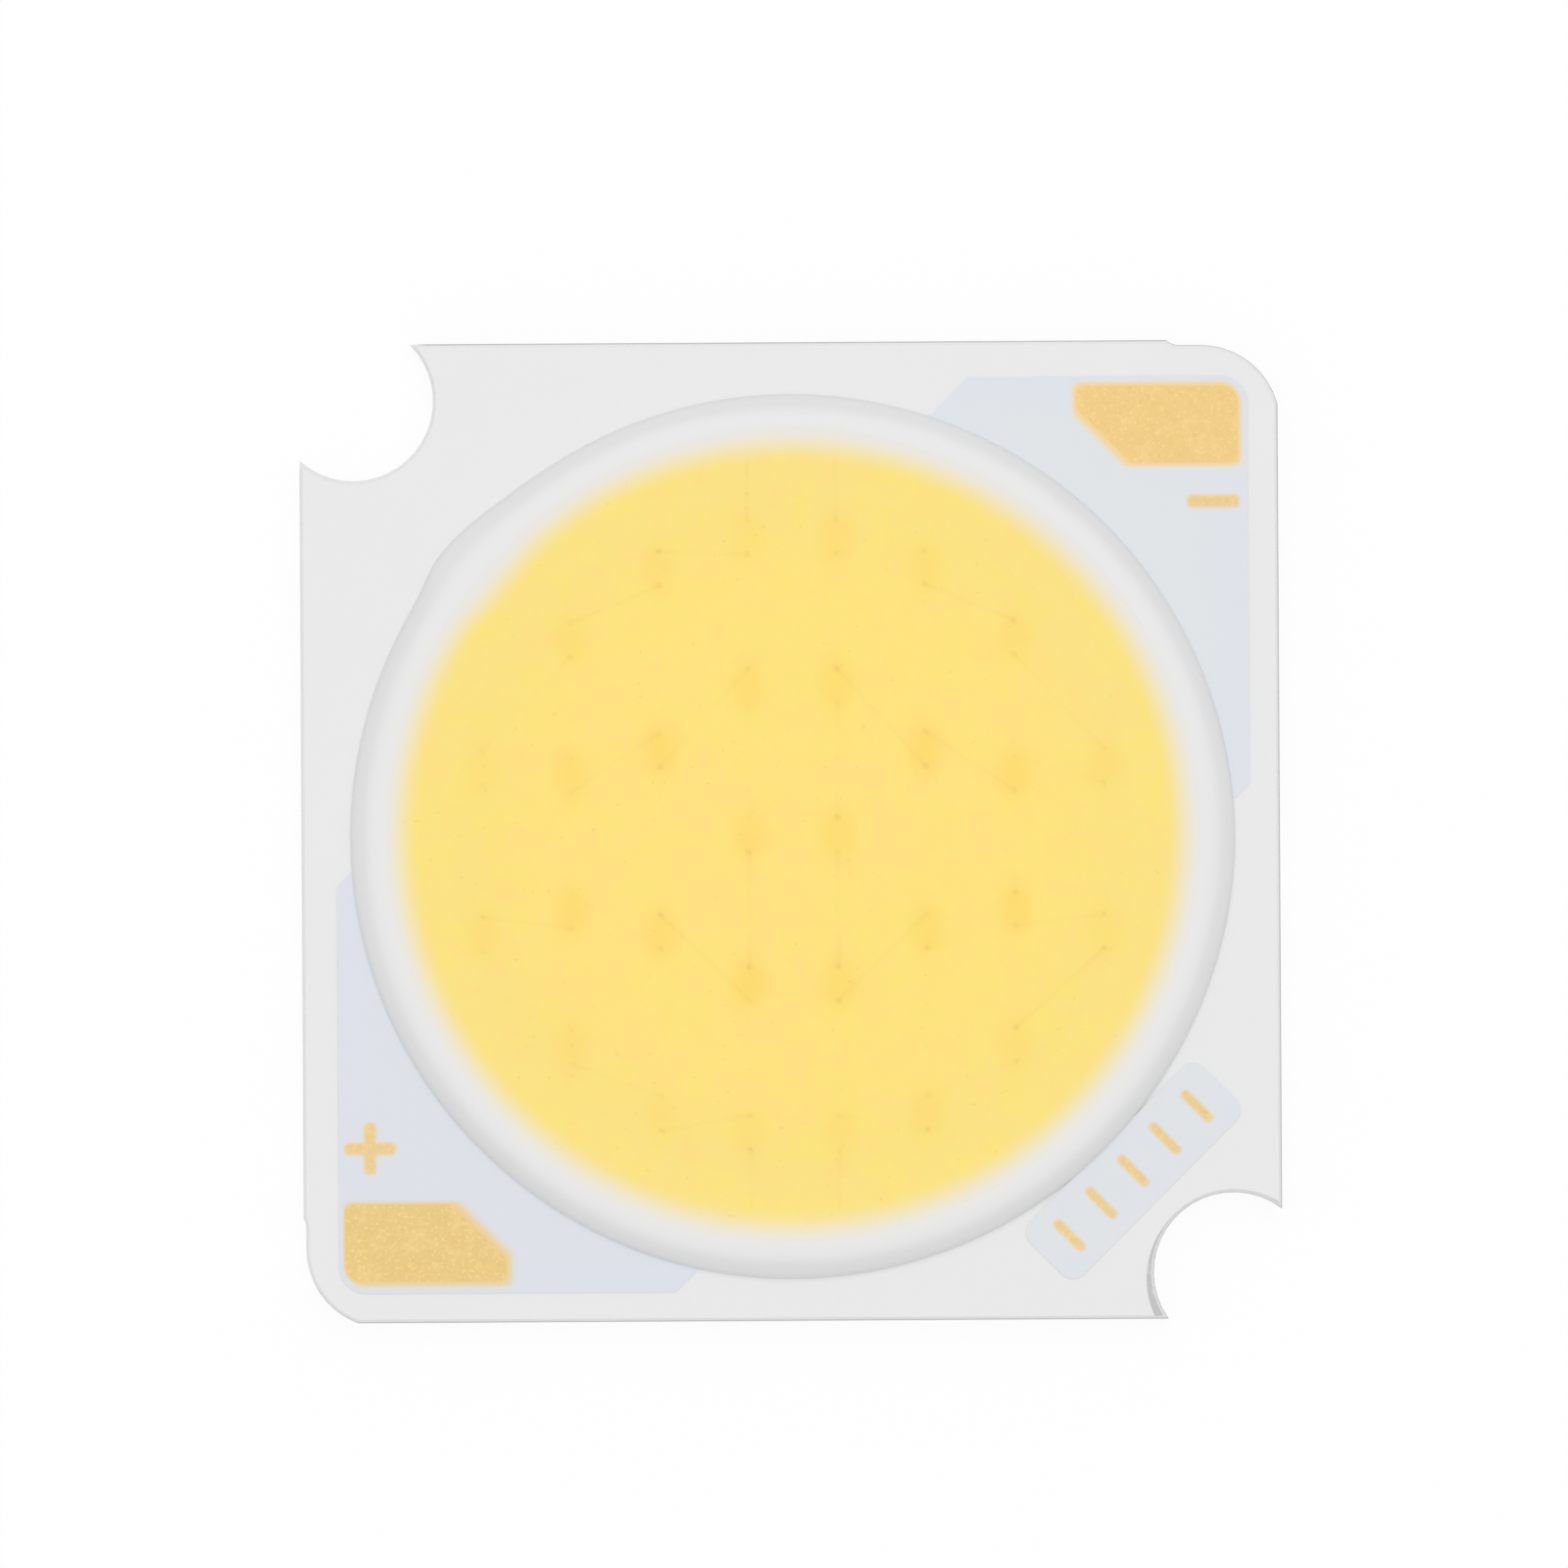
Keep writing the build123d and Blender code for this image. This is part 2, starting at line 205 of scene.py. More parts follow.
@dataclass(frozen=True)
class MaskInk:
    """White ink, cooler and a little darker where copper lies under it."""

    bare: Tint = Tint(234, 234, 234)
    # The ink over the anode is a little darker than over the cathode: painted shade.
    over_cathode: Tint = Tint(224, 228, 231)
    over_anode: Tint = Tint(222, 225, 231)
    lavender: Tint = Tint(223, 225, 236)
    step_low: float = 1.045
    step_high: float = 1.055
    edge_low: float = 7.9
    edge_high: float = 8.7
    # Painted shade beside one notch: its grey, and the middle and reach of its circle.
    painted_notch_shade: Tint = Tint(194, 194, 197)
    shade_notch_middle: tuple[float, float, float] = (8.576, -8.725, 1.03)
    shade_notch_reach: float = 1.720

    def material(self) -> bpy.types.Material:
        """Colour follows the ink's height, the anode's lead at lower X carries a painted shade, and both leads turn
        lavender outwards.

        A crescent beside one notch, between its edge and a circle a little off its middle, is grey
        with darker grains: a painted shade, where the notch's edge lies in shadow.
        """
        shader = Shader("white_mask", self.bare, 0.45, 0.0, 0.4)
        # Painted shade: the ink over the anode, at lower X, is a little darker than over the cathode.
        side = shader.between(shader.axis("X"), -3 * MM, 3 * MM)
        lead = shader.mixed(side, self.over_anode, self.over_cathode)
        for name in ("X", "Y"):
            outwards = shader.tree.nodes.new("ShaderNodeMath")
            outwards.operation = "ABSOLUTE"
            shader.join(shader.axis(name), outwards.inputs[0])
            near = shader.between(outwards.outputs[0], self.edge_low * MM, self.edge_high * MM)
            lead = shader.mixed(shader.scaled(near, 0.5), lead, self.lavender)
        drift = shader.between(shader.noise(2.2, 1.0), 0.50, 0.72)
        lead = shader.mixed(shader.scaled(drift, 0.35), lead, self.lavender)
        raised = shader.between(shader.axis("Z"), self.step_low * MM, self.step_high * MM)
        ink = shader.mixed(raised, self.bare, lead)
        cloud = shader.scaled(shader.noise(1.4, 3.0), 0.05)
        ink = shader.mixed(cloud, ink, Tint(205, 207, 212))
        # Painted shade: grey with darker grains in the crescent beside the notch.
        chips = shader.between(shader.noise(0.22, 3.0), 0.30, 0.52)
        bare = shader.mixed(chips, Tint(214, 214, 216), self.painted_notch_shade)
        shader.colour(shader.mixed(shader.within(self.shade_notch_middle, self.shade_notch_reach, 0.03), ink, bare))
        grain = shader.noise(0.07, 2.0)
        shader.rough(grain, 0.38, 0.52)
        shader.relief(grain, 0.0012)
        return shader.material


@dataclass(frozen=True)
class GoldPlating:
    """Matte gold over etched copper, with bright and dull grains."""

    name: str
    body: Tint
    faded: Tint | None = None
    bright: Tint = Tint(254, 228, 160)
    dull: Tint = Tint(230, 191, 120)
    grain: float = 0.065

    def material(self) -> bpy.types.Material:
        """Two noises pick the bright and the dull grains out of the body colour.

        A plating with a faded tint has it wherever the mesh says that the gold is thin.
        """
        shader = Shader(self.name, self.body, 0.42, 1.0, 0.5)
        fine = shader.noise(self.grain, 3.0)
        cloud = shader.noise(self.grain * 9, 2.0)
        bright = shader.scaled(shader.between(fine, 0.52, 0.72), 0.75)
        patch = shader.scaled(shader.between(shader.noise(self.grain * 3.6, 3.0), 0.50, 0.74), 0.35)
        dull = shader.scaled(shader.between(shader.noise(self.grain * 1.7, 3.0), 0.52, 0.74), 0.32)
        colour = shader.mixed(bright, self.body, self.bright)
        colour = shader.mixed(patch, colour, self.bright)
        colour = shader.mixed(dull, colour, self.dull)
        colour = shader.mixed(shader.scaled(cloud, 0.15), colour, self.dull)
        if self.faded is not None:
            colour = shader.mixed(shader.attribute("fade"), self.faded, colour)
        shader.colour(colour)
        shader.rough(fine, 0.34, 0.52)
        shader.relief(fine, 0.002)
        return shader.material


@dataclass(frozen=True)
class InkLip:
    """White ink thinning out over gold, which warms it from below."""

    name: str
    ink: Tint
    gold: Tint

    def material(self) -> bpy.types.Material:
        """The colour runs from ink to gold with the value that the mesh carries."""
        shader = Shader(self.name, self.ink, 0.45, 0.0, 0.4)
        grain = shader.noise(0.06, 3.0)
        colour = shader.mixed(shader.attribute("fade"), self.ink, self.gold)
        shader.colour(shader.mixed(shader.scaled(grain, 0.08), colour, Tint(255, 236, 190)))
        shader.relief(grain, 0.0012)
        return shader.material


@dataclass(frozen=True)
class Aluminium:
    """Rolled sheet, with fine lines along X on its back and upright marks on its edges."""

    body: Tint = Tint(196, 196, 199)
    dark: Tint = Tint(160, 161, 166)
    # Painted highlights: a bright one at one notch and a lighter one along the edge at the lowest X.
    painted_notch_highlight: Tint = Tint(243, 243, 245)
    painted_edge_highlight: Tint = Tint(228, 228, 230)
    highlight_notch_middle: tuple[float, float, float] = (-8.45, 8.40, 0.85)
    highlight_notch_reach: float = 1.71

    def material(self) -> bpy.types.Material:
        """Rolling lines and edge marks in colour, roughness and relief.

        One notch's edge carries a bright painted highlight, and the edge at the lowest X a lighter painted highlight.
        """
        shader = Shader("aluminium_base", self.body, 0.36, 1.0, 0.5)
        lines = shader.noise(0.09, 3.0, Pattern.ROLLED)
        marks = shader.noise(0.30, 2.0, Pattern.SCORED)
        colour = shader.mixed(shader.scaled(lines, 0.5), self.body, self.dark)
        colour = shader.mixed(shader.scaled(marks, 0.25), colour, self.dark)
        # Painted highlights at one notch and along the edge at the lowest X.
        painted_notch_highlight = shader.within(self.highlight_notch_middle, self.highlight_notch_reach, 0.18)
        painted_edge_highlight = shader.between(shader.axis("X"), -9.2 * MM, -9.4 * MM)
        colour = shader.mixed(painted_edge_highlight, colour, self.painted_edge_highlight)
        shader.colour(shader.mixed(painted_notch_highlight, colour, self.painted_notch_highlight))
        shader.rough(lines, 0.28, 0.46)
        shader.relief(lines, 0.0015)
        return shader.material


@dataclass(frozen=True)
class PlainLayer:
    """An inner layer or part that shows only at an edge or through a cut."""

    name: str
    body: Tint
    speck: Tint
    grain: float
    roughness: float
    metallic: float = 0.0

    def material(self) -> bpy.types.Material:
        """An even colour broken by a fine grain."""
        shader = Shader(self.name, self.body, self.roughness, self.metallic, 0.4)
        grain = shader.noise(self.grain, 3.0)
        shader.colour(shader.mixed(shader.scaled(grain, 0.4), self.body, self.speck))
        shader.relief(grain, 0.001)
        return shader.material


@dataclass(frozen=True)
class WhiteSilicone:
    """The dam's silicone, tinted by the gel beside it."""

    body: Tint = Tint(233, 233, 233)
    # Painted shade on the outer flank.
    painted_flank_shade: Tint = Tint(227, 227, 228)
    gel: Tint = Tint(254, 225, 126)

    def material(self) -> bpy.types.Material:
        """White, with a painted shade on the outer flank, that turns to the gel's yellow where the gel is near."""
        shader = Shader("white_silicone", self.body, 0.5, 0.0, 0.3)
        white = shader.mixed(shader.attribute("painted_flank_shade"), self.body, self.painted_flank_shade)
        shader.colour(shader.mixed(shader.attribute("fade"), self.gel, white))
        shader.relief(shader.noise(0.5, 2.0), 0.002)
        return shader.material


@dataclass(frozen=True)
class PhosphorGel:
    """Yellow gel, with the chips and their wires showing faintly through it."""

    body: Tint = Tint(255, 226, 126)
    shallow: Tint = Tint(250, 225, 131)
    rim: Tint = Tint(233, 233, 233)
    warm: Tint = Tint(255, 219, 128)
    green: Tint = Tint(252, 229, 117)
    over_chip: Tint = Tint(251, 212, 92)
    over_bond: Tint = Tint(206, 158, 78)
    over_wire: Tint = Tint(226, 186, 92)
    speck: Tint = Tint(226, 192, 100)

    def material(self) -> bpy.types.Material:
        """The mesh carries where the chips, bonds, wires and rim are.

        Two sizes of blobs drift to a warmer and to a greener yellow, and the gel is duller
        where it is shallow. The peaks of a fine noise are its few dark specks.
        """
        shader = Shader("phosphor_silicone", self.body, 0.30, 0.0, 0.3)
        colour = shader.mixed(shader.attribute("shade"), self.body, self.shallow)
        warm = shader.between(shader.noise(0.46, 3.0), 0.40, 0.70)
        green = shader.between(shader.noise(0.66, 3.0), 0.44, 0.70)
        cloud = shader.between(shader.noise(3.1, 2.0), 0.44, 0.66)
        colour = shader.mixed(shader.scaled(cloud, 0.30), colour, self.green)
        colour = shader.mixed(shader.scaled(warm, 0.42), colour, self.warm)
        colour = shader.mixed(shader.scaled(green, 0.48), colour, self.green)
        colour = shader.mixed(shader.scaled(shader.attribute("chip"), 0.52), colour, self.over_chip)
        colour = shader.mixed(shader.scaled(shader.attribute("wire"), 0.20), colour, self.over_wire)
        colour = shader.mixed(shader.scaled(shader.attribute("bond"), 0.32), colour, self.over_bond)
        speck = shader.between(shader.noise(0.15, 1.0), 0.71, 0.80)
        colour = shader.mixed(shader.scaled(speck, 0.26), colour, self.speck)
        shader.colour(shader.mixed(shader.attribute("fade"), colour, self.rim))
        shader.relief(shader.noise(1.2, 2.0), 0.003)
        return shader.material


def piece(name: str, points: Grid, faces: list[NDArray[np.int64]], material: bpy.types.Material) -> bpy.types.Object:
    """Makes a mesh object from arrays.

    Args:
        name: The piece's name.
        points: Its vertices, in millimetres.
        faces: Arrays of corner numbers, one array for each count of corners.
        material: Its finish.

    Returns:
        The object, in the scene and riding on the body.
    """
    counts = np.concatenate([np.full(len(group), group.shape[1]) for group in faces])
    corners = np.concatenate([group.ravel() for group in faces])
    mesh = bpy.data.meshes.new(name)
    mesh.vertices.add(len(points))
    mesh.vertices.foreach_set("co", (points * MM).astype(np.float32).ravel())
    mesh.loops.add(len(corners))
    mesh.loops.foreach_set("vertex_index", corners.astype(np.int32))
    mesh.polygons.add(len(counts))
    mesh.polygons.foreach_set("loop_start", (np.cumsum(counts) - counts).astype(np.int32))
    mesh.update(calc_edges=True)
    mesh.validate()
    mesh.polygons.foreach_set("use_smooth", np.ones(len(mesh.polygons), bool))
    mesh.set_sharp_from_angle(angle=math.radians(35))
    mesh.materials.append(material)
    made = bpy.data.objects.new(name, mesh)
    bpy.context.scene.collection.objects.link(made)
    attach(made, BODY)
    return made


def carry(made: bpy.types.Object, name: str, values: Grid) -> None:
    """Stores one value for each vertex, for the material to read."""
    layer = made.data.attributes.new(name, "FLOAT", "POINT")
    layer.data.foreach_set("value", values.astype(np.float32))


def grid_faces(rows: int, columns: int, wrap_rows: bool, wrap_columns: bool) -> NDArray[np.int64]:
    """Corner numbers of the four-sided faces of a grid, closed on itself where asked."""
    row_count = rows if wrap_rows else rows - 1
    column_count = columns if wrap_columns else columns - 1
    i, j = np.meshgrid(np.arange(row_count), np.arange(column_count), indexing="ij")
    following_i = (i + 1) % rows
    following_j = (j + 1) % columns
    corners = [i * columns + j, following_i * columns + j, following_i * columns + following_j, i * columns + following_j]
    return np.stack(corners, axis=-1).reshape(-1, 4)


def smooth_step(values: Grid, low: float, high: float) -> Grid:
    """0 below low, 1 above high, and three t squared less two t cubed between them."""
    t = np.clip((values - low) / (high - low), 0, 1)
    return t * t * (3 - 2 * t)


def plan_middle(node: str) -> NDArray[np.float64]:
    """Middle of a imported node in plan, in millimetres."""
    low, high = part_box(node)
    return np.array([low.x + high.x, low.y + high.y]) / 2 / MM


def dress(material: bpy.types.Material, *nodes: str) -> None:
    """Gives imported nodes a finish."""
    for name in nodes:
        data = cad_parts[name].data
        data.materials.clear()
        data.materials.append(material)
        log.info("dressed %s with %s", name, material.name)


@dataclass
class Bead:
    """The dam's line in plan and its round section, which the gel follows too."""

    width: float = 1.18
    height: float = 0.52
    lap_angle: float = 141.0
    lap_rise: float = 9.0
    lap_fall: float = 5.0
    outer_swell: float = 0.16
    inner_swell: float = 0.04
    spread: float = 0.045
    spread_lean: float = 0.035
    spread_angle: float = 240.0
    waver: float = 0.008
    fade_low: float = 7.21
    fade_high: float = 8.00
    fade_swell: float = 0.10
    fade_drift: float = 0.04
    drift_angle: float = 235.0

    def arc(self) -> float:
        """Radius of the section's arc, which passes through both feet and the crest."""
        return (self.height**2 + (self.width / 2) ** 2) / (2 * self.height)

    def crest(self) -> float:
        """Radius of the crest's circle in plan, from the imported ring."""
        low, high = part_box("dam_ring")
        return (high.x - low.x) / 2 / MM - self.width / 2

    def foot(self) -> float:
        """Height of the feet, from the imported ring."""
        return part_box("dam_ring")[1].z / MM - self.height

    def section(self, across: Grid) -> Grid:
        """Height of the surface at a place across the bead, on the section's arc."""
        return self.foot() + self.height - self.arc() + np.sqrt(self.arc() ** 2 - across**2)

    def lap(self, turn: Grid) -> Grid:
        """A bump of height 1 at the lap: a bell curve, wider before its top than after it."""
        away = np.degrees(turn) - self.lap_angle
        away = (away + 180) % 360 - 180
        width = np.where(away < 0, self.lap_rise, self.lap_fall)
        return np.exp(-((away / width) ** 2))

    def radius(self, across: Grid, turn: Grid) -> Grid:
        """Radius in plan of a place across the bead.

        It is the crest's radius plus the place, which moves out by its share of the half width
        times the swell at the lap. The outer foot has also spread, and most towards one side,
        by a cosine of the angle. Two slow sines give the hand-laid line its waver.
        """
        share = across / (self.width / 2)
        swell = np.where(share > 0, self.outer_swell, self.inner_swell) * share * self.lap(turn)
        lean = self.spread_lean * np.cos(turn - math.radians(self.spread_angle))
        spread = (self.spread + lean) * np.maximum(share, 0)
        line = self.waver * (np.sin(3 * turn + 0.7) + np.sin(7 * turn + 2.1)) / 2
        return self.crest() + across + swell + spread + line

    def fade(self, radius: Grid, turn: Grid) -> Grid:
        """From 0 in the gel to 1 on the bare bead, moved in at the lap and out towards one side."""
        drift = self.fade_drift * np.cos(turn - math.radians(self.drift_angle))
        return smooth_step(radius + self.fade_swell * self.lap(turn) - drift, self.fade_low, self.fade_high)


@dataclass
class Dam:
    """The white silicone ring, one bead with a round section."""

    bead: Bead
    turns: int = 720
    crown_points: int = 33
    flank_shade_place: float = 0.66
    flank_shade_width: float = 0.20

    def build(self) -> bpy.types.Object:
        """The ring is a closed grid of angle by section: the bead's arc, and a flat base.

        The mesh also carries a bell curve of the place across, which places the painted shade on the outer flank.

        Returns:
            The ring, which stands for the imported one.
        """
        middle = plan_middle("dam_ring")
        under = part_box("dam_ring")[0].z / MM
        half = self.bead.width / 2
        reach = math.asin(half / self.bead.arc())
        lean = np.linspace(-reach, reach, self.crown_points)
        crown = self.bead.arc() * np.sin(lean)
        across = np.concatenate([crown, [half, -half]])
        up = np.concatenate([self.bead.section(crown), [under, under]])
        turn = np.linspace(0, 2 * np.pi, self.turns, endpoint=False)[:, None]
        radius = self.bead.radius(across, turn)
        points = np.stack([middle[0] + radius * np.cos(turn), middle[1] + radius * np.sin(turn), up + 0 * radius], -1)
        faces = grid_faces(self.turns, len(across), True, True)
        made = piece("dam_bead", points.reshape(-1, 3), [faces], WhiteSilicone().material())
        carry(made, "fade", self.bead.fade(radius, turn + 0 * radius).ravel())
        # Painted shade: a bell curve across the outer flank.
        painted_flank_shade = np.exp(-(((across / half - self.flank_shade_place) / self.flank_shade_width) ** 2))
        carry(made, "painted_flank_shade", (painted_flank_shade + 0 * radius).ravel())
        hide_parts("dam_ring")
        log.info("dam_bead stands for dam_ring")
        return made


@dataclass
class Gel:
    """The yellow gel, a shallow dish whose rim climbs the dam."""

    bead: Bead
    string_length: int = 15
    cells: int = 280
    dish: float = 0.06
    touch: float = 0.09
    under_places: tuple[float, ...] = (0.20, 0.33, 0.45, 0.54, 0.585)
    chip_half: tuple[float, float] = (0.36, 0.54)
    bond_reach: float = 0.33
    bond_size: float = 0.050
    wire_size: float = 0.035
    shade_low: float = 4.8
    shade_high: float = 6.9
    window_radius: float = 7.10
    landing_radius: float = 7.28
    floor_height: float = 0.85
    ledge_height: float = 1.035
    seed: int = 11

    def chip_places(self) -> Grid:
        """Middles of all chips from the centre of the gel, in the order of their numbers."""
        names = sorted(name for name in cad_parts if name.startswith("led_chip_"))
        return np.array([plan_middle(name) for name in names]) - plan_middle("phosphor_gel")

    def chip_marks(self, spots: Grid, chips: Grid) -> Grid:
        """Each chip is an oval that fades with the cube of the distance.

        Some are fainter than others, and those near the rim have half the strength.
        """
        strength = np.random.default_rng(self.seed).uniform(0.7, 1.0, len(chips))
        strength = strength * (1 - 0.5 * smooth_step(np.linalg.norm(chips, axis=1), self.shade_low, 6.2))
        away = np.linalg.norm((spots[:, None, :] - chips[None, :, :]) / np.array(self.chip_half), axis=-1)
        return (strength * np.exp(-(away**3))).max(axis=1)

    def bond_marks(self, spots: Grid, chips: Grid) -> Grid:
        """Two small bell curves on each chip, above and below its middle, of uneven strength."""
        step = np.array([0, self.bond_reach])
        bonds = np.concatenate([chips + step, chips - step])
        strength = np.random.default_rng(self.seed + 1).uniform(0.1, 1.0, len(bonds))
        away = np.linalg.norm(spots[:, None, :] - bonds[None, :, :], axis=-1)
        return (strength * np.exp(-((away / self.bond_size) ** 2))).max(axis=1)

    def wire_marks(self, spots: Grid, chips: Grid) -> Grid:
        """A bell curve of the distance to the nearest wire, each one a straight line in plan.

        Each wire has its own strength, and shows less at its middle than near its ends.
        """
        step = np.array([0, self.bond_reach])
        strongest = np.zeros(len(spots))
        picker = np.random.default_rng(self.seed + 2)
        for string in (chips[: self.string_length], chips[self.string_length :]):
            column = string[0, 0]
            ledge = np.array([column, math.sqrt(self.landing_radius**2 - column**2)])
            starts = np.concatenate([string[:1] + step, string - step])
            ends = np.concatenate([ledge[None], string[1:] + step, (ledge * [1, -1])[None]])
            along = ends - starts
            offset = spots[:, None, :] - starts[None, :, :]
            share = np.clip((offset * along).sum(-1) / (along**2).sum(-1), 0, 1)
            away = np.linalg.norm(offset - share[..., None] * along, axis=-1)
            strength = picker.uniform(0.2, 1.0, len(starts)) * (0.4 + 0.6 * (2 * share - 1) ** 2)
            strongest = np.maximum(strongest, (strength * np.exp(-((away / self.wire_size) ** 2))).max(axis=1))
        return strongest

    def build(self) -> bpy.types.Object:
        """The top is a square grid bent into a disc, so that it has no pole.

        A point (u, v) of the square goes to x = u times the root of 1 - v squared / 2, and y the
        same with u and v exchanged, times the rim's radius. The top is level, and rises as a
        parabola that meets the dam's round section without a crease. Rings under the rim follow
        the dam's inner side, the ledge and the window down to the floor, which one face closes.

        Returns:
            The gel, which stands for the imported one.
        """
        middle = plan_middle("phosphor_gel")
        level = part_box("phosphor_gel")[1].z / MM - self.dish
        rise = float(self.bead.section(np.array(-self.touch))) - level
        slope = self.touch / math.sqrt(self.bead.arc() ** 2 - self.touch**2)
        climb = 2 * rise / slope
        side = np.linspace(-1, 1, self.cells + 1)
        u, v = np.meshgrid(side, side, indexing="xy")
        x = u * np.sqrt(1 - v**2 / 2)
        y = v * np.sqrt(1 - u**2 / 2)
        share = np.hypot(x, y)
        turn = np.arctan2(y, x)
        rim = self.bead.radius(np.array(-self.touch), turn)
        height = level + rise * np.clip(1 - (1 - share) * rim / climb, 0, 1) ** 2
        top = np.stack([share * rim * np.cos(turn), share * rim * np.sin(turn), height], -1)

        size = self.cells + 1
        number = np.arange(size * size).reshape(size, size)
        edge = np.concatenate([number[0, :-1], number[:-1, -1], number[-1, :0:-1], number[:0:-1, 0]])
        edge_turn = turn.ravel()[edge]
        under = np.array([*self.under_places, self.bead.width / 2])
        sloped = self.bead.radius(-under[:, None], edge_turn)
        lowered = np.concatenate([sloped, np.full((2, len(edge)), self.window_radius)])
        ledge = [self.ledge_height, self.ledge_height, self.floor_height]
        ring_heights = np.concatenate([self.bead.section(under[:-1]), ledge])
        rings = np.stack(
            [lowered * np.cos(edge_turn), lowered * np.sin(edge_turn), ring_heights[:, None] + 0 * lowered], -1
        )
        points = np.concatenate([top.reshape(-1, 3), rings.reshape(-1, 3)])
        loops = np.concatenate([edge[None], size * size + np.arange(rings.shape[0] * len(edge)).reshape(-1, len(edge))])
        following = np.roll(loops, -1, axis=1)
        walls = np.stack([loops[:-1], loops[1:], following[1:], following[:-1]], -1).reshape(-1, 4)
        tops = grid_faces(size, size, False, False)[:, ::-1]
        floor = loops[-1][None, ::-1]

        spots = points[:, :2]
        spot_radius = np.hypot(spots[:, 0], spots[:, 1])
        spot_turn = np.arctan2(spots[:, 1], spots[:, 0])
        chips = self.chip_places()
        placed = points + np.array([middle[0], middle[1], 0])
        made = piece("gel_pool", placed, [tops, walls, floor], PhosphorGel().material())
        carry(made, "fade", self.bead.fade(spot_radius, spot_turn))
        carry(made, "chip", self.chip_marks(spots, chips))
        carry(made, "bond", self.bond_marks(spots, chips))
        carry(made, "wire", self.wire_marks(spots, chips))
        carry(made, "shade", smooth_step(spot_radius, self.shade_low, self.shade_high))
        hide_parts("phosphor_gel")
        log.info("gel_pool stands for phosphor_gel, with %d chips under it", len(chips))
        return made


def rounded(corners: Grid, radii: Grid, points: int = 7) -> Grid:
    """Turns each corner of an outline into a circle's arc.

    The arc is the rational curve of the corner C and the points A and B where it leaves the two
    sides: the weights are (1 - t) squared, 2 w t (1 - t) and t squared, and w is the sine of
    half the corner's angle.

    Args:
        corners: The outline's corners in order.
        radii: The arc's radius at each corner.
        points: Points on each arc.

    Returns:
        The outline's points in the same order.
    """
    before = np.roll(corners, 1, axis=0) - corners
    after = np.roll(corners, -1, axis=0) - corners
    before = before / np.linalg.norm(before, axis=1, keepdims=True)
    after = after / np.linalg.norm(after, axis=1, keepdims=True)
    half_angle = np.arccos(np.clip((before * after).sum(1), -1, 1)) / 2
    reach = (radii / np.tan(half_angle))[:, None]
    start, end = (corners + before * reach)[:, None], (corners + after * reach)[:, None]
    t = np.linspace(0, 1, points)[None, :, None]
    weight = 2 * np.sin(half_angle)[:, None, None] * t * (1 - t)
    total = (1 - t) ** 2 + weight + t**2
    return (((1 - t) ** 2 * start + weight * corners[:, None] + t**2 * end) / total).reshape(-1, 2)


